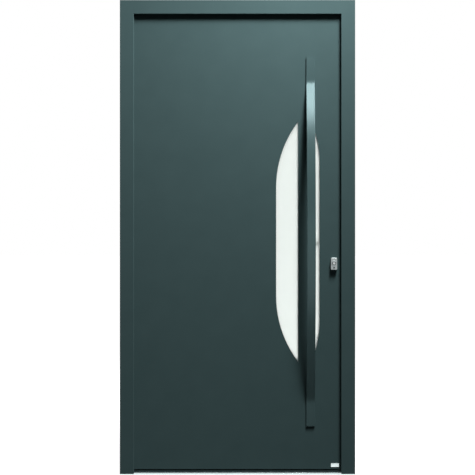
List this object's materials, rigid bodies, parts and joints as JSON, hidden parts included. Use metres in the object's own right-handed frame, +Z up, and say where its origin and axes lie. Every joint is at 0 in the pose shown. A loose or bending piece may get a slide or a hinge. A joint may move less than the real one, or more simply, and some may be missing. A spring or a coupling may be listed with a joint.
{
  "type": "glazed entrance door",
  "caption": "Inward-opening aluminium entrance door in its frame, with a bowed full-height pull handle over two slim curved windows, and a low threshold.",
  "frame": {"origin": "centre of the threshold's underside, half way through the depth of the frame", "axes": "+X to the right as seen from outside, +Y into the house, +Z up"},
  "size_m": [1.1, 0.1965, 2.22],
  "materials": {
    "powder_coat": "fine-textured powder coat, dark green-grey",
    "powder_coat_handle": "satin powder coat in the colour of the leaf",
    "polyamide": "glass-filled polyamide, black",
    "anodised_aluminium": "satin anodised",
    "rubber_gasket": "matt black EPDM",
    "stainless_steel": "brushed stainless steel",
    "nickel_brass": "nickel-plated brass",
    "zinc_steel": "zinc-plated steel",
    "hinge_coat": "powder coat in the colour of the frame",
    "satin_glass": "satin etched, white",
    "clear_glass": "clear float glass",
    "spacer_bar": "warm-edge spacer",
    "rigid_foam": "rigid foam, buff",
    "brush_pile": "dense nylon pile"
  },
  "bodies": {
    "frame": {"jamb_left_outer_profile": "powder_coat", "jamb_left_thermal_bars": "polyamide", "jamb_left_inner_profile": "powder_coat", "jamb_right_outer_profile": "powder_coat", "jamb_right_thermal_bars": "polyamide", "jamb_right_inner_profile": "powder_coat", "head_outer_profile": "powder_coat", "head_thermal_bars": "polyamide", "head_inner_profile": "powder_coat", "threshold_outer_rail": "anodised_aluminium", "threshold_core": "polyamide", "threshold_inner_rail": "anodised_aluminium", "frame_gasket": "rubber_gasket", "strike_plate": "stainless_steel", "hook_keeps": "stainless_steel", "hinge_frame_parts": "hinge_coat", "hinge_pins": "zinc_steel"},
    "leaf": {"leaf_outer_skin": "powder_coat", "leaf_inner_skin": "powder_coat", "leaf_hinge_stile": "powder_coat", "leaf_lock_stile": "powder_coat", "leaf_top_rail": "powder_coat", "leaf_bottom_rail": "powder_coat", "pull_handle": "powder_coat_handle", "leaf_thermal_bars": "polyamide", "glazing_tape_outer": "rubber_gasket", "glazing_tape_inner": "rubber_gasket", "cylinder_escutcheon": "stainless_steel", "lock_faceplate": "stainless_steel", "inner_lever_rose": "stainless_steel", "inner_lever": "stainless_steel", "inner_cylinder_rose": "stainless_steel", "lock_cylinder": "nickel_brass", "lock_case_and_bolts": "zinc_steel", "hinge_leaf_parts": "hinge_coat", "glass_outer_pane": "satin_glass", "glass_middle_pane": "clear_glass", "glass_inner_pane": "clear_glass", "glass_spacers": "spacer_bar", "leaf_core": "rigid_foam", "bottom_seal": "brush_pile"}
  },
  "joints": [
    {"name": "leaf_swing", "type": "hinge", "parent": "frame", "child": "leaf", "pos_m": [-0.49925, 0.058, 0.0235], "axis": [0, 0, 1], "range_deg": [0, 100]}
  ]
}
